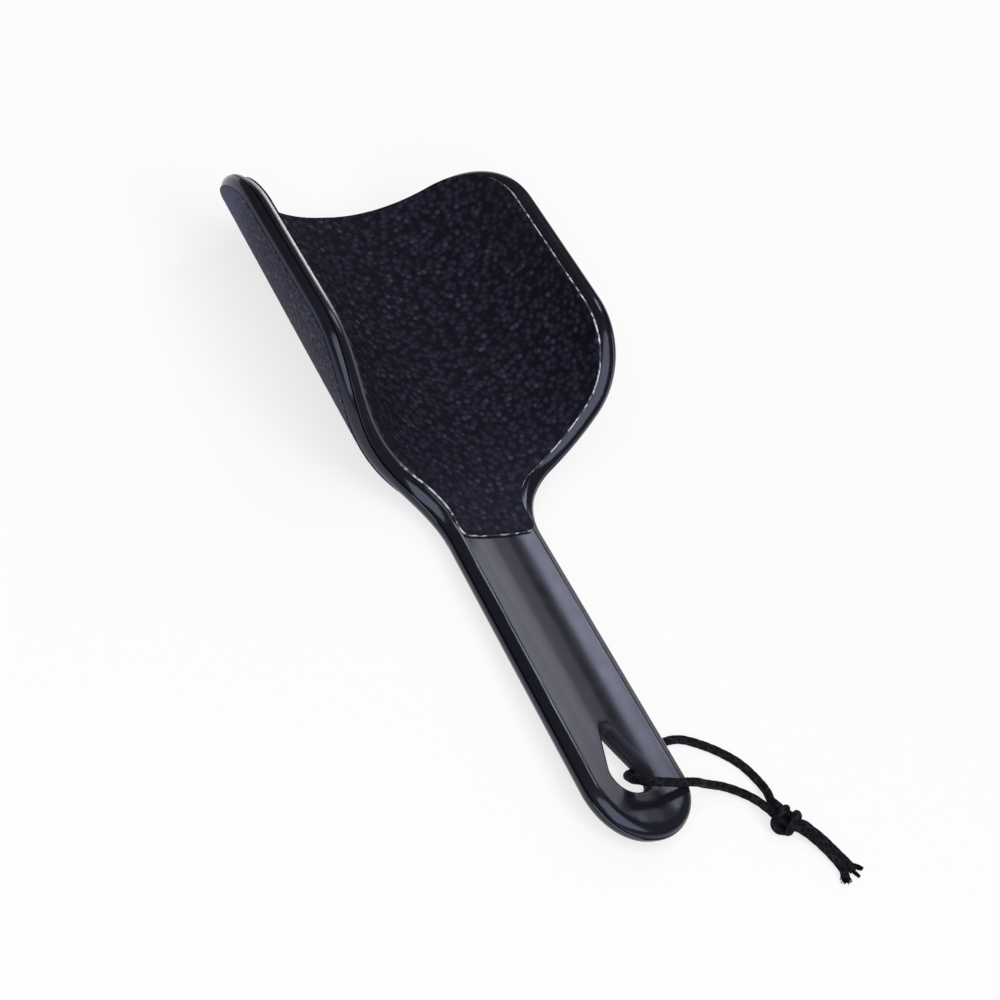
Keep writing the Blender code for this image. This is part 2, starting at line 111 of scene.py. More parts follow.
class Value:
    """A shader socket that Python's operators work on.

    Args:
        graph: The finish's node graph.
        socket: The output socket that is wrapped.
    """

    def __init__(self, graph: "Graph", socket: bpy.types.NodeSocket) -> None:
        """Keep the graph and the socket."""
        self.graph = graph
        self.socket = socket

    def _maths(self, operation: str, *inputs: "Value | float") -> "Value":
        """Add one Math node with these inputs, in order."""
        return self.graph.node("ShaderNodeMath", {"operation": operation}, dict(enumerate(inputs)))

    def __add__(self, other: "Value | float") -> "Value":
        """Sum."""
        return self._maths("ADD", self, other)

    __radd__ = __add__

    def __sub__(self, other: "Value | float") -> "Value":
        """Difference."""
        return self._maths("SUBTRACT", self, other)

    def __rsub__(self, other: float) -> "Value":
        """Difference from a number."""
        return self._maths("SUBTRACT", other, self)

    def __mul__(self, other: "Value | float") -> "Value":
        """Product."""
        return self._maths("MULTIPLY", self, other)

    __rmul__ = __mul__

    def clamped(self, low: float, high: float) -> "Value":
        """Spread the range from low to high softly over 0 to 1, and cut off the rest."""
        inputs = {"Value": self, "From Min": low, "From Max": high}
        return self.graph.node("ShaderNodeMapRange", {"interpolation_type": "SMOOTHSTEP"}, inputs)


class Graph:
    """The node tree of one material, with the Principled shader that everything feeds.

    Args:
        name: The material's name.
    """

    def __init__(self, name: str) -> None:
        """Make the material with an empty Principled shader."""
        self.material = bpy.data.materials.new(name)
        self.material.use_nodes = True
        self.tree = self.material.node_tree
        self.shader = self.tree.nodes["Principled BSDF"]

    def node(
        self, kind: str, settings: dict | None = None, inputs: dict | None = None, output: int | str = 0
    ) -> Value:
        """Add any node.

        Args:
            kind: The node's type.
            settings: Its own properties, such as a Math node's operation.
            inputs: The values or links of its sockets, by index or name.
            output: The output that is wanted.

        Returns:
            That output, ready for maths.
        """
        made = self.tree.nodes.new(kind)
        for key, value in (settings or {}).items():
            setattr(made, key, value)
        for key, value in (inputs or {}).items():
            self.feed(made.inputs[key], value)
        return Value(self, made.outputs[output])

    def feed(self, socket: bpy.types.NodeSocket, value: "Value | float | Sequence[float]") -> None:
        """Link or set one input socket.

        Args:
            socket: The input.
            value: A wrapped output, a number, a colour or a vector.
        """
        if isinstance(value, Value):
            self.tree.links.new(value.socket, socket)
        elif isinstance(value, (int, float)):
            socket.default_value = value
        else:
            socket.default_value = (*value, 1.0) if len(socket.default_value) == 4 else value

    def place(self) -> Value:
        """The point on the surface, in the object's own metres."""
        return self.node("ShaderNodeTexCoord", output="Object")

    def axis(self, name: str) -> Value:
        """How far the point lies along one axis."""
        return self.node("ShaderNodeSeparateXYZ", {}, {"Vector": self.place()}, name)

    def noise(self, scale: float, detail: float = 2.0, roughness: float = 0.5) -> Value:
        """Smooth noise with about that many features to the metre."""
        inputs = {"Vector": self.place(), "Scale": scale, "Detail": detail, "Roughness": roughness}
        return self.node("ShaderNodeTexNoise", {}, inputs)

    def cells(self, scale: float, output: str = "Distance") -> Value:
        """Cells with about that many to the metre."""
        return self.node("ShaderNodeTexVoronoi", {}, {"Vector": self.place(), "Scale": scale}, output)

    def channel(self, colour: Value, name: str) -> Value:
        """One channel of a colour."""
        return self.node("ShaderNodeSeparateColor", {}, {"Color": colour}, name)

    def attribute(self, name: str) -> Value:
        """A number that is stored on the mesh."""
        return self.node("ShaderNodeAttribute", {"attribute_name": name}, output="Fac")

    def mix(self, share: Value, first: "Value | Colour", second: "Value | Colour") -> Value:
        """A colour between two others.

        Args:
            share: How much of the second there is.
            first: The one colour.
            second: The other.

        Returns:
            The mixed colour.
        """
        made = self.tree.nodes.new("ShaderNodeMix")
        made.data_type = "RGBA"
        for socket, value in zip((made.inputs[0], made.inputs[6], made.inputs[7]), (share, first, second)):
            self.feed(socket, value)
        return Value(self, made.outputs[2])

    def bump(self, height: Value, distance: float, strength: float = 1.0) -> Value:
        """Turn a height, in shares of the distance, into a normal."""
        inputs = {"Height": height, "Distance": distance, "Strength": strength}
        return self.node("ShaderNodeBump", {}, inputs)

    def dress(self, **inputs: "Value | float | Colour") -> bpy.types.Material:
        """Feed the Principled shader.

        Args:
            inputs: What its sockets take, by their names with underscores for spaces.

        Returns:
            The finished material.
        """
        for name, value in inputs.items():
            self.feed(self.shader.inputs[name.replace("_", " ")], value)
        return self.material


# Finishes


@dataclass(frozen=True)
class MouldingFinish:
    """Glossy black plastic with the faint ripple of a moulded face, left matt on the hole's walls."""

    colour: Colour = (0.007, 0.007, 0.011)
    rubbed: Colour = (0.010, 0.010, 0.015)
    rubbed_per_metre: float = 34.0
    rubbed_range: Range = (0.42, 0.68)
    smears_per_metre: float = 210.0
    reflection: Colour = (0.68, 0.71, 1.0)
    roughness: float = 0.13
    smear_roughness: float = 0.05
    wall_roughness: float = 0.45
    ripples_per_metre: float = 260.0
    ripple_depth: float = 0.000012

    def make(self) -> bpy.types.Material:
        """Build the material.

        Returns:
            The material.
        """
        graph = Graph("moulded_black")
        handled = graph.noise(self.rubbed_per_metre, 4.0, 0.6).clamped(*self.rubbed_range)
        smear = graph.noise(self.smears_per_metre, 3.0, 0.55)
        matt = graph.attribute(WALL) * self.wall_roughness
        return graph.dress(
            Base_Color=graph.mix(handled, self.colour, self.rubbed),
            Roughness=self.roughness + (handled + smear) * self.smear_roughness + matt,
            Normal=graph.bump(graph.noise(self.ripples_per_metre), self.ripple_depth),
            Specular_Tint=self.reflection,
        )


@dataclass(frozen=True)
class GritFinish:
    """Dark mineral grains of one to two millimetres in resin, hardly paler than it.

    A painted sheen makes the pad paler over two ranges along the paddle, at its lower end and at the wings'
    tips.
    """

    name: str
    resin: Colour = (0.003, 0.003, 0.0068)
    grain: Colour = (0.0265, 0.0255, 0.05)
    glint: Colour = (0.036, 0.036, 0.064)
    reflection: Colour = (0.75, 0.75, 1.0)
    reflectance: float = 0.15
    grains_per_metre: float = 500.0
    grain_edge: Range = (0.1, 0.75)
    grain_height: float = 0.00028
    fine_scale: float = 2.4
    patches_per_metre: float = 60.0
    # Painted sheen: the spans along Y where the pad is lightened, and how strongly.
    sheen_end_span: Range = (-0.005, 0.035)
    end_sheen: float = 0.22
    sheen_tip_span: Range = (0.085, 0.112)
    tip_sheen: float = 0.0

    def make(self) -> bpy.types.Material:
        """Build the material.

        Returns:
            The material.
        """
        graph = Graph(self.name)
        pick = graph.cells(self.grains_per_metre, "Color")
        tone = graph.channel(pick, "Red")
        sparkle = graph.channel(pick, "Green")
        dome = 1.0 - graph.cells(self.grains_per_metre).clamped(*self.grain_edge)
        patch = graph.noise(self.patches_per_metre, 3.0, 0.6)
        along = graph.axis("Y")
        # Painted sheen: the pad's colour is lightened towards its lower end and towards the wings' tips.
        end = (1.0 - along.clamped(*self.sheen_end_span)) * self.end_sheen
        paler_share = end + along.clamped(*self.sheen_tip_span) * self.tip_sheen
        body = graph.mix(dome * (0.45 + tone * 0.35) + paler_share, self.resin, self.grain)
        # Painted glints: the colour of random grains is lightened towards the glint colour.
        bright = sparkle.clamped(0.78, 1.0) * dome.clamped(0.3, 0.9) * (0.55 + patch * 0.8)
        fine = graph.noise(self.grains_per_metre * self.fine_scale, 2.0, 0.6)
        height = dome * (0.45 + tone * 0.55) + fine * 0.35
        return graph.dress(
            Base_Color=graph.mix(bright, body, self.glint),
            Roughness=0.62 - bright * 0.15 + fine * 0.1,
            Normal=graph.bump(height, self.grain_height, 0.7),
            Specular_IOR_Level=self.reflectance,
            Specular_Tint=self.reflection,
        )


@dataclass(frozen=True)
class FoamFinish:
    """The cut edge of pale foam, broken up by pores and by resin that ran over it.

    It is clean to the left of clean_side, where only its lower end is darker.
    """

    pale: Colour = (0.78, 0.78, 0.82)
    pore: Colour = (0.03, 0.03, 0.045)
    pores_per_metre: float = 900.0
    pore_depth: float = 0.0002
    runs_per_metre: float = 400.0
    clean_side: float = -0.03
    clean_fade: float = 0.01
    # The span along Y over which the clean side turns darker towards its lower end.
    darker_end_span: Range = (0.042, 0.062)

    def make(self) -> bpy.types.Material:
        """Build the material.

        Returns:
            The material.
        """
        graph = Graph("cut_foam")
        pores = graph.cells(self.pores_per_metre).clamped(0.15, 0.6)
        dashed = graph.axis("X").clamped(self.clean_side, self.clean_side + self.clean_fade)
        # Left of clean_side the edge turns darker towards its lower end.
        darker_end = (1.0 - dashed) * (1.0 - graph.axis("Y").clamped(*self.darker_end_span))
        run = graph.noise(self.runs_per_metre, 3.0, 0.6).clamped(0.42, 0.56) * dashed + darker_end
        return graph.dress(
            Base_Color=graph.mix(run * 0.96, graph.mix(pores * 0.2, self.pale, self.pore), self.pore),
            Roughness=0.9,
            Normal=graph.bump(pores, self.pore_depth, 0.5),
        )


@dataclass(frozen=True)
class CordFinish:
    """Braided black polyester: the valleys between the strands are darkened by painted shade, and the crowns
    show a little wear.
    """

    # The first colour is painted shade for the braid's valleys.
    valley_shade: Colour = (0.002, 0.002, 0.003)
    crown: Colour = (0.026, 0.0245, 0.037)
    reflectance: float = 0.08
    fibres_per_metre: float = 2600.0
    fibre_depth: float = 0.00008
    worn_per_metre: float = 420.0

    def make(self) -> bpy.types.Material:
        """Build the material.

        Returns:
            The material.
        """
        graph = Graph("braided_black")
        relief = graph.attribute(RELIEF)
        fibre = graph.noise(self.fibres_per_metre, 2.0, 0.6)
        paler_share = graph.noise(self.worn_per_metre).clamped(0.35, 0.7)
        return graph.dress(
            # Painted shade: the colour darkens towards the braid's valleys by the stored relief, and the crowns
            # pale with wear.
            Base_Color=graph.mix(relief * relief * (0.2 + paler_share * 0.8), self.valley_shade, self.crown),
            Roughness=0.68 + fibre * 0.1,
            Normal=graph.bump(fibre, self.fibre_depth, 0.6),
            Specular_IOR_Level=self.reflectance,
        )


# Shape of the paddle


@dataclass
class PaddleShape:
    """The paddle's flat outline and the way that it is bent, in millimetres from the handle's end.

    Corners and radii are the outline's right side, from the head's top to the handle's end. The pad is cut off
    square at pad_end_height, and pad_end_reach lets it start lower, because it is then drawn in. The hole's
    walls are matt up to wall_reach from its edge, and wall_fade is the soft end of that.
    """

    length: float = 240.0
    thickness: float = 6.6
    curve_radius: float = 48.0
    flat_half_width: float = 2.0
    corners: tuple[tuple[float, float], ...] = ((65.2, 240.0), (70.2, 148.4), (16.0, 124.0), (18.4, 0.0))
    radii: tuple[float, ...] = (27.0, 32.4, 22.8, 18.4)
    corner_edge_share: float = 0.49
    handle_end_rise: float = 3.5
    rest_height: float = 3.5
    hole_radius: float = 6.2
    hole_height: float = 21.5
    hole_top_radius: float = 1.5
    hole_top_height: float = 36.3
    wall_reach: float = 1.7
    wall_fade: float = 0.7
    pad_end_height: float = 110.0
    pad_end_reach: float = 2.5
    pad_end_radius: float = 4.5
    arc_step: float = math.radians(3.0)

    def corner_arc(self, before: Vector, corner: Vector, after: Vector, radius: float) -> Outline:
        """The arc that rounds one corner.

        Args:
            before: The corner before it.
            corner: The corner.
            after: The corner after it.
            radius: The arc's radius, which the two edges may limit.

        Returns:
            The arc's points.
        """
        to_before, to_after = before - corner, after - corner
        half = to_before.angle(to_after) / 2
        reach = min(radius / math.tan(half), self.corner_edge_share * min(to_before.length, to_after.length))
        radius = reach * math.tan(half)
        inwards = (to_before.normalized() + to_after.normalized()).normalized()
        centre = corner + inwards * (radius / math.sin(half))
        start = corner + to_before.normalized() * reach - centre
        turn = (corner + to_after.normalized() * reach - centre).angle_signed(start)
        steps = max(2, round(abs(turn) / self.arc_step))
        turns = [Matrix.Rotation(turn * step / steps, 2) for step in range(steps + 1)]
        return [centre + matrix @ start for matrix in turns]

    def mirrored(self, corners: Sequence[Vector], radii: Sequence[float]) -> Outline:
        """A closed outline from its right side's corners.

        Args:
            corners: Corners from the top to the bottom of the right side.
            radii: The radius at each.

        Returns:
            Top centre, right side, bottom centre and left side.
        """
        path = [Vector((-corners[0].x, corners[0].y)), *corners, Vector((-corners[-1].x, corners[-1].y))]
        right: Outline = []
        for index, radius in enumerate(radii, start=1):
            right += self.corner_arc(path[index - 1], path[index], path[index + 1], radius)
        left = [Vector((-point.x, point.y)) for point in reversed(right)]
        return [Vector((0.0, corners[0].y)), *right, Vector((0.0, corners[-1].y)), *left]

    def body_outline(self) -> Outline:
        """The outline at the middle of the thickness."""
        return self.mirrored([Vector(corner) for corner in self.corners], self.radii)

    def pad_outline(self, margin: float) -> Outline:
        """The pad's outline.

        Args:
            margin: How far it is drawn in from the body's edge.

        Returns:
            The outline, cut off square above the handle.
        """
        end = self.pad_end_height - self.pad_end_reach
        (neck, neck_height), (foot, _) = self.corners[2:]
        width = foot + (neck - foot) * end / neck_height
        corners = [*(Vector(corner) for corner in self.corners[:3]), Vector((width, end))]
        return shrunk(self.mirrored(corners, (*self.radii[:3], self.pad_end_radius)), margin)

    def hole_outline(self, growth: float) -> Outline:
        """The teardrop hole.

        Args:
            growth: How far it is grown.

        Returns:
            Bottom centre, right side, top centre, left side.
        """
        side = math.asin((self.hole_radius - self.hole_top_radius) / (self.hole_top_height - self.hole_height))
        right: Outline = []
        for height, radius, start, end in (
            (self.hole_height, self.hole_radius + growth, -math.pi / 2, side),
            (self.hole_top_height, self.hole_top_radius + growth, side, math.pi / 2),
        ):
            steps = round((end - start) / (self.arc_step * 2))
            for step in range(steps + 1):
                angle = start + (end - start) * step / steps
                right.append(Vector((radius * math.cos(angle), height + radius * math.sin(angle))))
        right[0].x = right[-1].x = 0.0
        return right + [Vector((-point.x, point.y)) for point in reversed(right[1:-1])]

    def hole_wall(self, point: Vector) -> float:
        """How deep a bent point lies in the hole's rolled lip.

        Args:
            point: The point, in metres.

        Returns:
            0 on the face, 1 on the hole's wall.
        """
        across, along = point.x / MM, point.y / MM + self.length / 2
        run = self.hole_top_height - self.hole_height
        share = limited((along - self.hole_height) / run)
        radius = self.hole_radius + (self.hole_top_radius - self.hole_radius) * share
        gap = math.hypot(across, along - self.hole_height - run * share) - radius
        return limited((self.wall_reach - gap) / self.wall_fade)

    def bent(self, point: Vector) -> Vector:
        """Where a point of the flat solid lies on the curved paddle.

        Args:
            point: The flat point: across, along, and its depth towards the back, in millimetres.

        Returns:
            The bent point, in metres.
        """
        across, along, depth = point
        angle = max(abs(across) - self.flat_half_width, 0.0) / self.curve_radius
        radius = self.curve_radius + depth
        x = min(abs(across), self.flat_half_width) + radius * math.sin(angle)
        rise = self.handle_end_rise * (self.length - along) / self.length
        z = self.curve_radius - radius * math.cos(angle) + self.rest_height + rise
        return Vector((math.copysign(x, across), along - self.length / 2, z)) * MM


def shrunk(outline: Outline, distance: float) -> Outline:
    """The outline moved inwards.

    Args:
        outline: A closed outline, clockwise.
        distance: How far.

    Returns:
        The moved outline.
    """
    moved = []
    for index, point in enumerate(outline):
        ahead = (outline[(index + 1) % len(outline)] - point).normalized()
        behind = (point - outline[index - 1]).normalized()
        first = Vector((ahead.y, -ahead.x))
        mitre = (first + Vector((behind.y, -behind.x))).normalized()
        moved.append(point + mitre * (distance / mitre.dot(first)))
    return moved


def spaced(start: float, end: float, step: float) -> list[float]:
    """Evenly spaced places from a start to just short of an end."""
    return [start + step * index for index in range(math.ceil((end - start) / step))]


class FlatSolid:
    """A solid drawn flat in layers of outlines, then cut into strips and bent.

    A cut welds points nearer than WELD, and edges shorter than SLIVER are taken out, in millimetres.

    Args:
        name: The mesh's name.
        shape: The paddle's shape.
    """

    WELD = 0.001
    SLIVER = 0.004
    SHARP_EDGE = math.radians(35)

    def __init__(self, name: str, shape: PaddleShape) -> None:
        """Start with no faces."""
        self.name = name
        self.shape = shape
        self.bm = bmesh.new()

    def ring(self, outline: Iterable[Vector], depth: float) -> list[bmesh.types.BMVert]:
        """Add one outline at a depth and return its vertices."""
        return [self.bm.verts.new((point.x, point.y, depth)) for point in outline]

    def prism(self, outline: Outline, *depths: float) -> None:
        """Draw a closed solid with the same outline at both ends.

        Args:
            outline: The outline.
            depths: The depths of its two ends.
        """
        rings = [self.ring(outline, depth) for depth in depths]
        join_rings(self.bm, rings)
        for ring in rings:
            self.bm.faces.new(ring)

    def pierced_cap(self, outer: Sequence[bmesh.types.BMVert], hole: Sequence[bmesh.types.BMVert]) -> None:
        """Close the face between an outline and the hole in it, in two halves.

        Args:
            outer: The outline's ring, from its top.
            hole: The hole's ring, from its bottom.
        """
        outer_half, hole_half = len(outer) // 2, len(hole) // 2
        self.bm.faces.new([*outer[: outer_half + 1], *hole[: hole_half + 1]])
        self.bm.faces.new([*outer[outer_half:], outer[0], *hole[hole_half:], hole[0]])

    def outwards(self) -> None:
        """Make all faces look outwards."""
        bmesh.ops.recalc_face_normals(self.bm, faces=self.bm.faces)
        if self.bm.calc_volume(signed=True) < 0:
            bmesh.ops.reverse_faces(self.bm, faces=self.bm.faces)

    def mesh(self) -> bpy.types.Mesh:
        """Close the drawing.

        Returns:
            The mesh, with its faces outwards.
        """
        self.outwards()
        mesh = bpy.data.meshes.new(self.name)
        self.bm.to_mesh(mesh)
        self.bm.free()
        return mesh

    def cut_out(self, tool: "FlatSolid") -> None:
        """Take another flat solid away from this one.

        Args:
            tool: The solid that is taken away, and used up.
        """
        pieces = [added(solid.name, solid.mesh()) for solid in (self, tool)]
        step = pieces[0].modifiers.new("cut", "BOOLEAN")
        step.operation = "DIFFERENCE"
        step.object = pieces[1]
        depsgraph = bpy.context.evaluated_depsgraph_get()
        result = bpy.data.meshes.new_from_object(pieces[0].evaluated_get(depsgraph))
        for thing in pieces:
            bpy.data.objects.remove(thing, do_unlink=True)
        self.bm = bmesh.new()
        self.bm.from_mesh(result)

    def bend(
        self, across: float, along: float, move: Callable[[Vector], Vector] | None = None
    ) -> bpy.types.Object:
        """Cut into strips and bend.

        Args:
            across: The strips' width.
            along: Their length.
            move: How a flat point moves before it is bent, such as by a worn or rough surface.

        Returns:
            The finished object, smooth but for its real edges.
        """
        half = max(abs(vertex.co.x) for vertex in self.bm.verts)
        cuts = [(Vector((side * place, 0, 0)), Vector((1, 0, 0)))
                for side in (-1, 1) for place in spaced(self.shape.flat_half_width, half, across)]
        low, high = min(v.co.y for v in self.bm.verts), max(v.co.y for v in self.bm.verts)
        cuts += [(Vector((0, place, 0)), Vector((0, 1, 0))) for place in spaced(low + along / 2, high, along)]
        for place, normal in cuts:
            everything = [*self.bm.verts, *self.bm.edges, *self.bm.faces]
            bmesh.ops.bisect_plane(self.bm, geom=everything, plane_co=place, plane_no=normal, dist=self.WELD)
        bmesh.ops.dissolve_degenerate(self.bm, dist=self.SLIVER, edges=self.bm.edges)
        for vertex in self.bm.verts:
            vertex.co = self.shape.bent(move(vertex.co) if move else vertex.co)
        mesh = self.mesh()
        mesh.shade_smooth()
        mesh.set_sharp_from_angle(angle=self.SHARP_EDGE)
        return added(self.name, mesh)


def finish_piece(
    thing: bpy.types.Object, material: bpy.types.Material, slot: str, *nodes: str
) -> bpy.types.Object:
    """Dress a piece and tie it to the model.

    Args:
        thing: The piece.
        material: Its finish.
        slot: The record's material slot. It is not used.
        nodes: The nodes that it stands for, if any.

    Returns:
        The piece.
    """
    thing.data.materials.append(material)
    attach(thing, BODY)
    if nodes:
        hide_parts(*nodes)
    LOG.info("%s stands for %s", thing.name, ", ".join(nodes) or "no node")
    return thing


# Moulding


@dataclass
class Moulding:
    """The two half shells of the paddle, with a full-round rim and a fine seam between them.

    The hole's lip is rolled like the rim, at lip_share of its width.
    """

    shape: PaddleShape
    seam: float = 0.3
    seam_chamfer: float = 0.25
    edge_steps: int = 10
    lip_share: float = 0.5
    bed_margin: float = 2.2
    bed_overrun: float = 2.0
    bed_depths: dict[Face, float] = field(default_factory=lambda: {Face.FRONT: 0.95, Face.BACK: 1.75})
    strip_width: float = 1.0
    strip_length: float = 3.0

    def rim_profile(self) -> list[Range]:
        """The section of the rim's round, from the seam to the face.

        Returns:
            How far each point lies in from the outline, and its depth.
        """
        radius = self.shape.thickness / 2
        start = math.asin((self.seam / 2 + self.seam_chamfer) / radius)
        profile = [(self.seam_chamfer, self.seam / 2)]
        for step in range(self.edge_steps + 1):
            angle = start + (math.pi / 2 - start) * step / self.edge_steps
            profile.append((radius * (1 - math.cos(angle)), radius * math.sin(angle)))
        return profile

    def bed(self, face: Face) -> FlatSolid:
        """What is cut away for the pad of one face.

        Args:
            face: Which face.

        Returns:
            The cut, which runs on past the face.
        """
        surface = self.shape.thickness / 2
        low, high = surface - self.bed_depths[face], surface + self.bed_overrun
        bed = FlatSolid("bed", self.shape)
        bed.prism(self.shape.pad_outline(self.bed_margin), face.value * low, face.value * high)
        return bed

    def half(self, face: Face, name: str) -> bpy.types.Object:
        """One half shell.

        Args:
            face: Which half.
            name: The piece's name.

        Returns:
            The bent half, with the bed of its pad and the place of the hole's walls stored on it.
        """
        solid = FlatSolid(name, self.shape)
        body, hole_outline, lip = self.shape.body_outline(), self.shape.hole_outline, self.lip_share
        profile = self.rim_profile()
        outer = [solid.ring(shrunk(body, inset), face.value * depth) for inset, depth in profile]
        hole = [solid.ring(hole_outline(lip * inset), face.value * depth) for inset, depth in profile]
        join_rings(solid.bm, outer)
        join_rings(solid.bm, hole)
        solid.pierced_cap(outer[0], hole[0])
        solid.pierced_cap(outer[-1], hole[-1])
        solid.cut_out(self.bed(face))
        piece = solid.bend(self.strip_width, self.strip_length)
        store(piece.data, WALL, [self.shape.hole_wall(vertex.co) for vertex in piece.data.vertices])
        return piece

    def build(self) -> None:
        """Make both halves."""
        material = MouldingFinish().make()
        finish_piece(self.half(Face.FRONT, "front_moulding"), material, "moulding", "front_shell")
        finish_piece(self.half(Face.BACK, "back_moulding"), material, "moulding", "back_shell")


# Pads


@dataclass
class Pad:
    """The foam and the abrasive sheet in the bed of one face.

    The foam fills the bed, and the sheet lies on it and stands proud of the moulding. The sheet's outer face
    sinks unevenly, by up to its roughness.
    """

    shape: PaddleShape
    face: Face
    bed_depth: float
    stand: float
    margin: float = 2.25
    setback: float = 0.05
    touch: float = 0.02
    sheet_thickness: float = 0.7
    roughness: float = 0.1
    grains_per_mm: float = 1.3
    face_tolerance: float = 0.01
    strip_width: float = 1.0
    strip_length: float = 1.5

    def layer(self, name: str, margin: float, low: float, high: float, rough: bool) -> bpy.types.Object:
        """One layer of the pad.

        Args:
            name: The piece's name.
            margin: Its distance from the body's edge.
            low: Its inner face's depth from the middle of the thickness.
            high: Its outer face's depth.
            rough: Whether grains roughen its outer face and its edge.

        Returns:
            The bent layer.
        """
        sign = self.face.value
        solid = FlatSolid(name, self.shape)
        solid.prism(self.shape.pad_outline(margin), sign * low, sign * high)

        def roughened(point: Vector) -> Vector:
            """Sink a point of the outer face by an uneven amount.

            Args:
                point: A point of the flat layer.

            Returns:
                The sunk point, or the same one where it isn't on the outer face.
            """
            if abs(point.z - sign * high) > self.face_tolerance:
                return point
            sink = self.roughness * (0.5 + 0.5 * noise.noise(point * self.grains_per_mm))
            return Vector((point.x, point.y, point.z - sign * sink))

        return solid.bend(self.strip_width, self.strip_length, roughened if rough else None)

    def build(self, foam: bpy.types.Material, grit: bpy.types.Material) -> None:
        """Make both layers.

        Args:
            foam: The foam's material.
            grit: The sheet's material.
        """
        side = self.face.name.lower()
        surface = self.shape.thickness / 2
        middle = surface + self.stand - self.sheet_thickness
        low, top = surface - self.bed_depth + self.touch, surface + self.stand
        layer = self.layer(f"{side}_foam", self.margin, low, middle, False)
        finish_piece(layer, foam, "foam", f"{side}_pad_foam")
        sheet = self.layer(f"{side}_grit", self.margin + self.setback, middle + self.touch, top, True)
        finish_piece(sheet, grit, "grit", f"{side}_abrasive_sheet")


# Cord


@dataclass
class KnotShape:
    """The knot: one strand wraps round both strands and tucks out below, and the other goes straight through.

    Each place is given along the knot, to its left side, and up, from its centre, in millimetres. A wrap's place
    is along the knot and round it in degrees, and past the first turn the wraps are second_wrap_share as wide.
    """

    centre: Point = (49.6, 3.3, 4.4)
    heading: float = math.radians(-50.0)
    half_width: float = 3.15
    half_height: float = 2.5
    entry: tuple[Point, ...] = (
        (-4.4, 2.7, 0.2), (-2.2, 1.6, 0.7), (0.0, 1.5, 0.7), (1.7, 2.0, -0.2), (2.9, 2.5, -1.0),
    )
    wraps: tuple[tuple[float, float], ...] = (
        (2.7, 12.0), (1.9, 45.0), (1.8, 90.0), (2.1, 135.0), (2.6, 180.0), (2.4, 223.0), (1.0, 270.0),
        (-0.4, 315.0), (-1.2, 360.0), (-1.5, 403.0), (-1.8, 450.0), (-2.2, 495.0),
    )
    second_wrap_share: float = 0.88
    tuck: tuple[Point, ...] = (
        (-2.5, -3.3, 0.1), (-1.8, -3.6, -1.1), (-0.4, -3.3, -2.1), (1.2, -2.2, -2.6), (2.6, -0.4, -2.3),
        (3.6, 1.4, -1.6),
    )
    straight: tuple[Point, ...] = (
        (-6.2, 0.5, -0.8), (-3.4, -0.4, -0.6), (-0.4, -1.3, -0.4), (2.2, -0.6, -0.4),
    )

    def place(self, along: float, across: float, up: float) -> Vector:
        """A point of the knot.

        Args:
            along: How far along the knot it lies from the centre.
            across: How far to the left.
            up: How far up.

        Returns:
            The point, from the handle's end.
        """
        ahead = Vector((math.cos(self.heading), math.sin(self.heading), 0.0))
        side = Vector((-ahead.y, ahead.x, 0.0))
        return Vector(self.centre) + ahead * along + side * across + Vector((0, 0, up))

    def wrap(self, along: float, degrees: float) -> Vector:
        """A point of the wraps.

        Args:
            along: How far along the knot it lies from the centre.
            degrees: How far round the knot.

        Returns:
            The point, from the handle's end.
        """
        angle = math.radians(degrees)
        share = 1.0 if degrees < 360 else self.second_wrap_share
        across, up = share * self.half_width * math.cos(angle), share * self.half_height * math.sin(angle)
        return self.place(along, across, up)

    def tying_strand(self) -> list[Vector]:
        """The strand that ties the knot."""
        before, after = ([self.place(*point) for point in points] for points in (self.entry, self.tuck))
        return [*before, *(self.wrap(*turn) for turn in self.wraps), *after]

    def straight_strand(self) -> list[Vector]:
        """The strand that goes straight through."""
        return [self.place(*point) for point in self.straight]


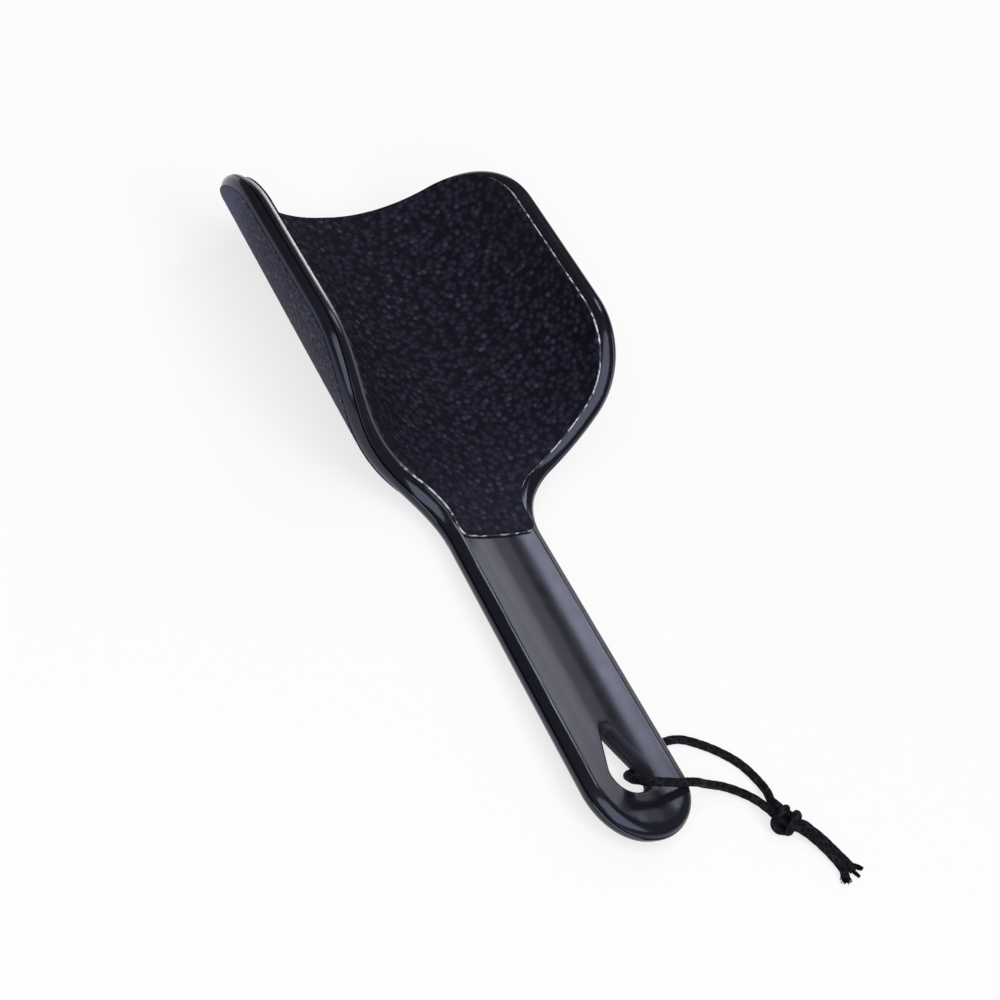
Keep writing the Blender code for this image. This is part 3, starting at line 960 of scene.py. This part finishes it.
@dataclass
class Cord:
    """The braided cord, as its two strands from the hole to their frayed ends.

    The legs, tails and tufts are given from the handle's end. A tuft has a start, a tip and a half width. The
    cord is drawn thinner by knot_squeeze up to squeeze_reach from the knot's centre.
    """

    shape: PaddleShape
    knot: KnotShape = field(default_factory=KnotShape)
    diameter: float = 2.7
    sides: int = 24
    curve_samples: int = 20
    ring_spacing: float = 0.34
    path_step: int = 6
    braid_pitch: float = 3.6
    carriers: int = 8
    relief: float = 0.1
    knot_squeeze: float = 0.03
    squeeze_reach: float = 4.0
    squeeze_fade: float = 2.0
    upper_leg: tuple[Point, ...] = (
        (12.4, 28.4, 1.45), (15.8, 30.6, 1.45), (20.0, 33.6, 1.45), (25.2, 36.2, 1.45), (31.0, 36.5, 1.45),
        (37.0, 34.1, 1.45), (42.9, 30.2, 1.45), (47.5, 25.4, 1.45), (50.2, 19.4, 1.5), (50.2, 14.6, 2.5),
        (48.9, 10.4, 3.6),
    )
    lower_leg: tuple[Point, ...] = (
        (12.4, 28.4, 1.45), (8.5, 26.8, 1.6), (4.9, 25.0, 3.5), (2.2, 22.9, 5.9), (0.5, 20.7, 8.3),
        (-0.7, 18.5, 10.5), (-1.0, 16.7, 12.6), (-0.4, 15.0, 14.2), (1.4, 14.0, 15.1), (4.1, 13.5, 15.2),
        (7.3, 13.4, 14.7), (10.6, 13.4, 14.0), (13.8, 13.5, 13.7), (17.0, 13.6, 13.1), (20.7, 14.7, 10.9),
        (24.9, 16.5, 7.5), (30.0, 17.4, 5.0), (34.8, 17.6, 3.3), (39.5, 16.2, 2.5), (43.7, 12.6, 2.9),
    )
    front_tail: tuple[Point, ...] = (
        (54.9, 1.5, 3.7), (58.0, -0.4, 2.7), (60.6, -3.0, 2.0), (62.7, -6.3, 1.5), (64.2, -9.8, 1.45),
        (65.5, -13.0, 1.45), (66.0, -15.1, 1.45),
    )
    back_tail: tuple[Point, ...] = (
        (52.5, 0.0, 4.0), (55.6, -1.7, 3.1), (58.2, -4.4, 2.4), (60.3, -7.6, 1.9), (61.6, -11.0, 1.75),
        (62.4, -14.3, 1.6), (62.1, -16.2, 1.45), (61.7, -17.5, 1.45),
    )
    front_tufts: tuple[tuple[Point, Point, float], ...] = (
        ((66.3, -13.2, 1.45), (69.8, -14.9, 0.9), 0.65), ((65.8, -15.0, 1.2), (67.5, -17.2, 0.9), 0.55),
    )
    back_tufts: tuple[tuple[Point, Point, float], ...] = (
        ((61.6, -16.8, 1.4), (60.3, -18.5, 1.2), 1.25), ((62.4, -16.8, 1.2), (62.9, -18.9, 0.9), 0.8),
    )
    fibres: int = 16
    fibre_radius: float = 0.15
    fibre_spread: Range = (0.5, 1.1)
    fibre_shortfall: float = 0.9
    fibre_sag: float = 0.12
    fibre_shares: tuple[float, ...] = (0.0, 0.25, 0.5, 0.75, 1.0)
    first_seed: int = 3

    def world(self, points: Iterable[Sequence[float]]) -> list[Vector]:
        """Points from the handle's end, in the model's metres."""
        shift = Vector((0.0, self.shape.length / 2, 0.0))
        return [(Vector(point) - shift) * MM for point in points]

    def curve(self, points: Sequence[Vector]) -> list[Vector]:
        """One smooth curve through some points.

        Args:
            points: The points.

        Returns:
            Close but uneven points on the curve.
        """
        padded = [points[0] * 2 - points[1], *points, points[-1] * 2 - points[-2]]
        fine: list[Vector] = []
        for four in zip(padded, padded[1:], padded[2:], padded[3:]):
            knots = [0.0]
            for first, second in zip(four, four[1:]):
                knots.append(knots[-1] + (second - first).length ** 0.5)
            for sample in range(self.curve_samples):
                at = knots[1] + (knots[2] - knots[1]) * sample / self.curve_samples
                fine.append(centripetal(four, knots, at))
        return [*fine, points[-1]]

    def route(self, points: Sequence[Vector]) -> list[Vector]:
        """Close, even points on one smooth curve.

        Args:
            points: The points that it goes through.

        Returns:
            Points a ring's spacing apart.
        """
        fine = self.curve(points)
        lengths = [0.0]
        for before, after in zip(fine, fine[1:]):
            lengths.append(lengths[-1] + (after - before).length)
        count = round(lengths[-1] / (self.ring_spacing * MM))
        even, place = [], 0
        for step in range(count + 1):
            target = lengths[-1] * step / count
            while place < len(fine) - 2 and lengths[place + 1] < target:
                place += 1
            share = (target - lengths[place]) / (lengths[place + 1] - lengths[place])
            even.append(fine[place].lerp(fine[place + 1], share))
        return even

    def weave(self, phase: float, turn: float) -> float:
        """How high the braid's crossing strands stand at one place.

        Args:
            phase: How far along the cord the place lies, where the pitch is a full turn.
            turn: How far round it.

        Returns:
            The height, 0 to 1.
        """
        right = math.cos(phase + turn * self.carriers / 2)
        left = math.cos(phase - turn * self.carriers / 2)
        return 0.5 + 0.5 * max(right, left) * (0.55 + 0.45 * abs(right - left) / 2)

    def strand(self, name: str, route: Sequence[Vector], squeeze: Callable[[Vector], float]) -> bpy.types.Object:
        """A braided tube.

        Args:
            name: The piece's name.
            route: Its centreline.
            squeeze: How much of its radius the cord keeps at a point, as in the knot.

        Returns:
            The tube, with its relief stored on the mesh.
        """
        radius = self.diameter / 2 * MM
        bm = bmesh.new()
        heights: list[float] = []
        rings = []
        side = (route[1] - route[0]).orthogonal().normalized()
        travelled = 0.0
        for index, point in enumerate(route):
            ahead = (route[min(index + 1, len(route) - 1)] - route[max(index - 1, 0)]).normalized()
            side = (side - ahead * side.dot(ahead)).normalized()
            other = ahead.cross(side)
            if index:
                travelled += (point - route[index - 1]).length
            phase = math.tau * travelled / (self.braid_pitch * MM)
            ring = []
            for place in range(self.sides):
                turn = math.tau * place / self.sides
                height = self.weave(phase, turn)
                heights.append(height)
                reach = radius * squeeze(point) * (1.0 - self.relief * (1.0 - height))
                ring.append(bm.verts.new(point + (side * math.cos(turn) + other * math.sin(turn)) * reach))
            rings.append(ring)
        join_rings(bm, rings)
        for ring, order in ((rings[0], -1), (rings[-1], 1)):
            bm.faces.new(ring[::order])
        bmesh.ops.recalc_face_normals(bm, faces=bm.faces)
        mesh = bpy.data.meshes.new(name)
        bm.to_mesh(mesh)
        bm.free()
        store(mesh, RELIEF, heights)
        mesh.shade_smooth()
        return added(name, mesh)

    def frays(self, name: str, tufts: Sequence[tuple[Point, Point, float]], seed: int) -> bpy.types.Object:
        """The opened fibres of a cut end.

        Args:
            name: The piece's name.
            tufts: The start, the tip and the half width of each tuft.
            seed: Fixes the fibres' places.

        Returns:
            One curve object with a spline for each fibre.
        """
        chance = random.Random(seed)
        curve = bpy.data.curves.new(name, "CURVE")
        curve.dimensions = "3D"
        curve.bevel_depth = self.fibre_radius * MM
        curve.bevel_resolution = 1
        curve.use_fill_caps = True
        lowest = 2 * self.fibre_radius * MM
        for tuft_start, tuft_tip, half_width in tufts:
            start, tip = self.world((tuft_start, tuft_tip))
            heading = (tip - start).normalized()
            side = heading.orthogonal().normalized()
            for _ in range(self.fibres):
                turn = Matrix.Rotation(chance.uniform(0, math.tau), 3, heading)
                offset = turn @ side * (math.sqrt(chance.random()) * half_width * MM)
                first = start + offset
                last = tip + offset * chance.uniform(*self.fibre_spread)
                last -= heading * (chance.random() ** 2 * self.fibre_shortfall * MM)
                for end in (first, last):
                    end.z = max(end.z, lowest)
                sag = turn @ side * (chance.uniform(-self.fibre_sag, self.fibre_sag) * (last - first).length)
                spline = curve.splines.new("POLY")
                spline.points.add(len(self.fibre_shares) - 1)
                for control, share in zip(spline.points, self.fibre_shares):
                    control.co = (*(first.lerp(last, share) + sag * math.sin(share * math.pi)), 1.0)
        return added(name, curve)

    def build(self) -> None:
        """Make both strands, their frayed ends and the knot between them."""
        material = CordFinish().make()
        knot = Vector(self.knot.centre) * MM - Vector((0, self.shape.length / 2 * MM, 0))

        def squeeze(point: Vector) -> float:
            """The cord is drawn thinner inside the knot."""
            near = limited(1.0 - ((point - knot).length / MM - self.squeeze_reach) / self.squeeze_fade)
            return 1.0 - self.knot_squeeze * near

        tying = self.route(self.world([*self.upper_leg, *self.knot.tying_strand(), *self.front_tail]))
        straight = self.route(self.world([*self.lower_leg, *self.knot.straight_strand(), *self.back_tail]))
        ends = {"front": (tying, self.front_tufts), "back": (straight, self.back_tufts)}
        for seed, (side, (route, tufts)) in enumerate(ends.items(), start=self.first_seed):
            parts = ("loop", "knot", "front_tail") if side == "front" else ("back_tail",)
            nodes = [f"lanyard_{part}" for part in parts]
            strand = finish_piece(self.strand(f"{side}_strand", route, squeeze), material, "cord", *nodes)
            tuft = finish_piece(self.frays(f"{side}_frayed_end", tufts, seed), material, "cord")
            length = sum((after - before).length for before, after in zip(route, route[1:]))
            LOG.info("%s: %.1f mm", strand.name, length / MM)


def centripetal(points: Sequence[Vector], knots: Sequence[float], at: float) -> Vector:
    """A point of the centripetal curve between the middle two of four points.

    Args:
        points: The four points.
        knots: Their places along the curve.
        at: The place that is wanted.

    Returns:
        The point.
    """
    level = list(points)
    for depth in (1, 2, 3):
        merged = []
        for index in range(4 - depth):
            low, high = (1, 2) if depth == 3 else (index, index + depth)
            share = (at - knots[low]) / (knots[high] - knots[low])
            merged.append(level[index] * (1 - share) + level[index + 1] * share)
        level = merged
    return level[0]


# Studio


@dataclass(frozen=True)
class Lamp:
    """An area lamp: where it stands, its size along and across the paddle in metres, and its power in watts."""

    name: str
    place: Point
    along: float
    across: float
    power: float


@dataclass
class Studio:
    """White floor and surroundings, soft lamps, and the camera at the photograph's angle.

    The camera's angles are in degrees, and its distance and target in millimetres. The three strips are what the
    handle's channel reflects, as its bright bands and the dark streak between them.
    """

    azimuth: float = -49.574
    elevation: float = 39.286
    roll: float = 32.909
    distance: float = 1335.4
    focal_pixels: float = 4581.5
    picture_pixels: float = 1000.0
    sensor_width: float = 36.0
    clip_end: float = 20.0
    target: Point = (2.328, -1.594, 14.379)
    floor_colour: Colour = (0.93, 0.93, 0.93)
    floor_reach: float = 6.0
    shown_white: float = 0.75
    surroundings: float = 0.12
    lamps_target: Point = (0.0, -0.06, 0.0)
    lamps: tuple[Lamp, ...] = (
        Lamp("high_strip", (0.413, 0.593, 1.049), 0.26, 0.30, 1.5),
        Lamp("middle_strip", (0.872, 0.593, 0.714), 0.26, 0.29, 0.52),
        Lamp("low_strip", (1.037, 0.593, 0.440), 0.26, 0.36, 0.47),
        Lamp("large_softbox", (-0.9, -1.56, 2.43), 4.0, 4.0, 135.0),
    )

    def directions(self) -> tuple[Vector, Vector, Vector]:
        """The camera's own directions.

        Returns:
            Right, up and back.
        """
        azimuth, elevation, roll = (math.radians(angle) for angle in (self.azimuth, self.elevation, self.roll))
        level = math.cos(elevation)
        back = Vector((math.sin(azimuth) * level, -math.cos(azimuth) * level, math.sin(elevation)))
        right = Vector((0, 0, 1)).cross(back).normalized()
        up = back.cross(right)
        return right * math.cos(roll) + up * math.sin(roll), up * math.cos(roll) - right * math.sin(roll), back

    def camera(self) -> None:
        """Place the camera."""
        right, up, back = self.directions()
        camera = added("camera", bpy.data.cameras.new("camera"))
        camera.data.sensor_width = self.sensor_width
        camera.data.lens = self.focal_pixels / self.picture_pixels * self.sensor_width
        camera.data.clip_end = self.clip_end
        matrix = Matrix((right, up, back)).transposed().to_4x4()
        matrix.translation = (Vector(self.target) + back * self.distance) * MM
        camera.matrix_world = matrix
        bpy.context.scene.camera = camera

    def lamp(self, lamp: Lamp) -> None:
        """Place a lamp that looks at the handle, with its length over the paddle's length.

        Args:
            lamp: The lamp.
        """
        light = bpy.data.lights.new(lamp.name, "AREA")
        light.shape = "RECTANGLE"
        light.size, light.size_y = lamp.along, lamp.across
        light.energy = lamp.power
        back = (Vector(lamp.place) - Vector(self.lamps_target)).normalized()
        right = (Vector((0, 1, 0)) - back * back.y).normalized()
        matrix = Matrix((right, back.cross(right), back)).transposed().to_4x4()
        matrix.translation = lamp.place
        added(lamp.name, light).matrix_world = matrix

    def floor(self) -> None:
        """A white floor, wider than the view, that shows white and still takes the object's shadow."""
        mesh = bpy.data.meshes.new("floor")
        corners = [Vector((x, y, 0)) * self.floor_reach for x, y in ((-1, -1), (1, -1), (1, 1), (-1, 1))]
        mesh.from_pydata(corners, [], [(0, 1, 2, 3)])
        floor = added("floor", mesh)
        graph = Graph("white_floor")
        camera, glossy = (
            graph.node("ShaderNodeLightPath", output=f"Is {ray} Ray") for ray in ("Camera", "Glossy")
        )
        share = (camera + glossy).clamped(0.0, 1.0) * self.shown_white
        material = graph.dress(Base_Color=self.floor_colour, Roughness=0.9, Specular_IOR_Level=0.0)
        white = graph.node("ShaderNodeEmission", {}, {"Strength": 1.0})
        plain = Value(graph, graph.shader.outputs[0])
        mixed = graph.node("ShaderNodeMixShader", {}, {0: share, 1: plain, 2: white})
        graph.feed(graph.tree.nodes["Material Output"].inputs["Surface"], mixed)
        floor.data.materials.append(material)

    def world(self) -> None:
        """Even, plain white surroundings."""
        world = bpy.data.worlds.new("surroundings")
        bpy.context.scene.world = world
        world.use_nodes = True
        background = world.node_tree.nodes["Background"]
        background.inputs["Color"].default_value = (1, 1, 1, 1)
        background.inputs["Strength"].default_value = self.surroundings

    def build(self) -> None:
        """Set up camera, floor, surroundings and lamps."""
        bpy.context.scene.view_settings.view_transform = "Standard"
        self.camera()
        self.floor()
        self.world()
        for lamp in self.lamps:
            self.lamp(lamp)


def main() -> None:
    """Build the paddle, its pads and its cord in the studio."""
    logging.basicConfig(level=logging.INFO, format="%(name)s %(message)s")
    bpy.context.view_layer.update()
    shape = PaddleShape()
    moulding = Moulding(shape)
    Studio().build()
    Cord(shape).build()
    moulding.build()
    foam = FoamFinish().make()
    coarse_grit = GritFinish("coarse_grit")
    # The fine grit also gets a painted sheen towards the wings' tips.
    fine_grit = GritFinish(
        "fine_grit", resin=(0.009, 0.009, 0.021), grain=(0.06, 0.06, 0.12), glint=(0.08, 0.08, 0.13),
        grains_per_metre=760.0, tip_sheen=0.7,
    )
    front_bed, back_bed = moulding.bed_depths[Face.FRONT], moulding.bed_depths[Face.BACK]
    Pad(shape, Face.FRONT, front_bed, stand=1.2).build(foam, coarse_grit.make())
    Pad(shape, Face.BACK, back_bed, stand=0.2, setback=-0.02).build(foam, fine_grit.make())
    bpy.context.view_layer.update()


if __name__ == "__main__":
    main()
